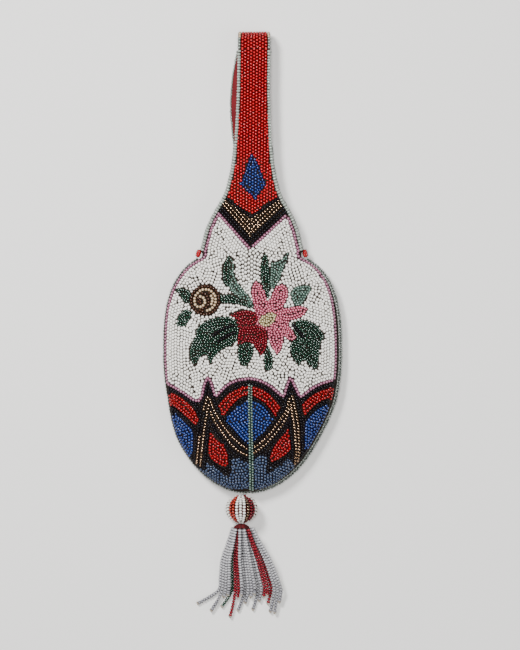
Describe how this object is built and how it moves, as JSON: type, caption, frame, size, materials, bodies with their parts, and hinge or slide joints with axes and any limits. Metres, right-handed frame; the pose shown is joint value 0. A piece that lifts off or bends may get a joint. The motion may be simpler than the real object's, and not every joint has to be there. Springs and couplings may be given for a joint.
{
  "type": "beaded wrist purse",
  "caption": "Flat oval beaded wrist purse with a floral front, lined pouch, strap loop handle and a beaded ball tassel with a bead-strand fringe.",
  "frame": {"origin": "on the table, on the flat of the back panel, mid-body; the purse lies on its back", "axes": "+X to the right across the front, +Y from the tassel to the top of the strap loop, +Z out of the front face"},
  "size_m": [0.0897, 0.2931, 0.021],
  "materials": {
    "white_beads": "opaque chalk-white seed beads in rows, slightly irregular",
    "red_beads": "opaque scarlet seed beads, glossy",
    "dark_red_beads": "translucent garnet seed beads, glossy",
    "green_beads": "translucent dark green seed beads, glossy",
    "teal_beads": "pale translucent sea-green seed beads on the seams and edges",
    "pink_beads": "opaque and lined pink seed beads",
    "blue_beads": "translucent cobalt and steel-blue seed beads",
    "black_beads": "opaque black seed beads, glossy",
    "bronze_beads": "bronze-lined brown seed beads, metallic glint",
    "lining": "dark red closely woven cotton lining",
    "thread": "dark red waxed thread, wound and knotted",
    "core": "turned wooden bead, bare"
  },
  "bodies": {
    "bag": {"front_panel": "white_beads", "back_panel": "white_beads", "front_lining": "lining", "back_lining": "lining", "left_seam_beading": "teal_beads", "right_seam_beading": "teal_beads", "front_centre_seam": "teal_beads", "front_shoulder_bend": "white_beads", "back_shoulder_bend": "white_beads"},
    "handle": {"left_shoulder_tack": "teal_beads", "right_shoulder_tack": "teal_beads", "back_neck": "white_beads", "back_neck_lining": "lining", "back_strap_bend": "red_beads"},
    "front_neck": {"front_neck": "white_beads", "front_neck_lining": "lining", "front_strap_bend": "red_beads"},
    "front_strap": {"front_strap": "red_beads", "front_strap_lining": "lining"},
    "back_strap": {"back_strap": "red_beads", "back_strap_lining": "lining", "strap_top_fold": "red_beads", "strap_top_fold_lining": "lining"},
    "tassel_hanger": {"tassel_hanger": "thread"},
    "tassel_ball": {"tassel_ball_beads": "white_beads", "tassel_ball_core": "core", "tassel_core_cord": "thread"},
    "fringe": {"fringe_binding": "thread", "strand_01": "white_beads", "strand_02": "white_beads", "strand_03": "white_beads", "strand_04": "white_beads", "strand_05": "green_beads", "strand_06": "dark_red_beads", "strand_07": "dark_red_beads", "strand_08": "white_beads", "strand_09": "white_beads", "strand_10": "white_beads", "strand_11": "white_beads", "strand_12": "white_beads", "strand_13": "dark_red_beads", "strand_14": "white_beads", "strand_15": "white_beads", "strand_16": "white_beads", "strand_17": "dark_red_beads", "strand_18": "white_beads", "strand_19": "white_beads", "strand_20": "white_beads"}
  },
  "joints": [
    {"name": "handle_fold", "type": "hinge", "parent": "bag", "child": "handle", "pos_m": [0.0004, 0.06, 0.006], "axis": [1, 0, 0], "range_deg": [0, 80], "deforming": ["front_shoulder_bend", "back_shoulder_bend"]},
    {"name": "mouth_open", "type": "hinge", "parent": "handle", "child": "front_neck", "pos_m": [0.0004, 0.06, 0.006], "axis": [1, 0, 0], "range_deg": [0, 30], "deforming": ["front_shoulder_bend"]},
    {"name": "front_strap_turn", "type": "hinge", "parent": "front_neck", "child": "front_strap", "pos_m": [0.001, 0.1115, 0.0091], "axis": [1, 0, 0], "range_deg": [-30, 0], "deforming": ["front_strap_bend", "strap_top_fold", "strap_top_fold_lining"]},
    {"name": "back_strap_turn", "type": "hinge", "parent": "handle", "child": "back_strap", "pos_m": [0.001, 0.1115, 0.0029], "axis": [1, 0, 0], "range_deg": [0, 30], "deforming": ["back_strap_bend"]},
    {"name": "tassel_swing", "type": "hinge", "parent": "bag", "child": "tassel_hanger", "pos_m": [-0.0026, -0.0601, 0.006], "axis": [0, 0, 1], "range_deg": [-12, 40]},
    {"name": "tassel_lift", "type": "hinge", "parent": "tassel_hanger", "child": "tassel_ball", "pos_m": [-0.00475, -0.061, 0.0081], "axis": [-1, 0, 0], "range_deg": [0, 60]},
    {"name": "fringe_lift", "type": "hinge", "parent": "tassel_ball", "child": "fringe", "pos_m": [-0.00475, -0.0749, 0.0081], "axis": [-1, 0, 0], "range_deg": [0, 40]}
  ],
  "couplings": [
    {"joint": "front_strap_turn", "follows": "mouth_open", "ratio": -1},
    {"joint": "back_strap_turn", "follows": "mouth_open", "ratio": 1}
  ]
}
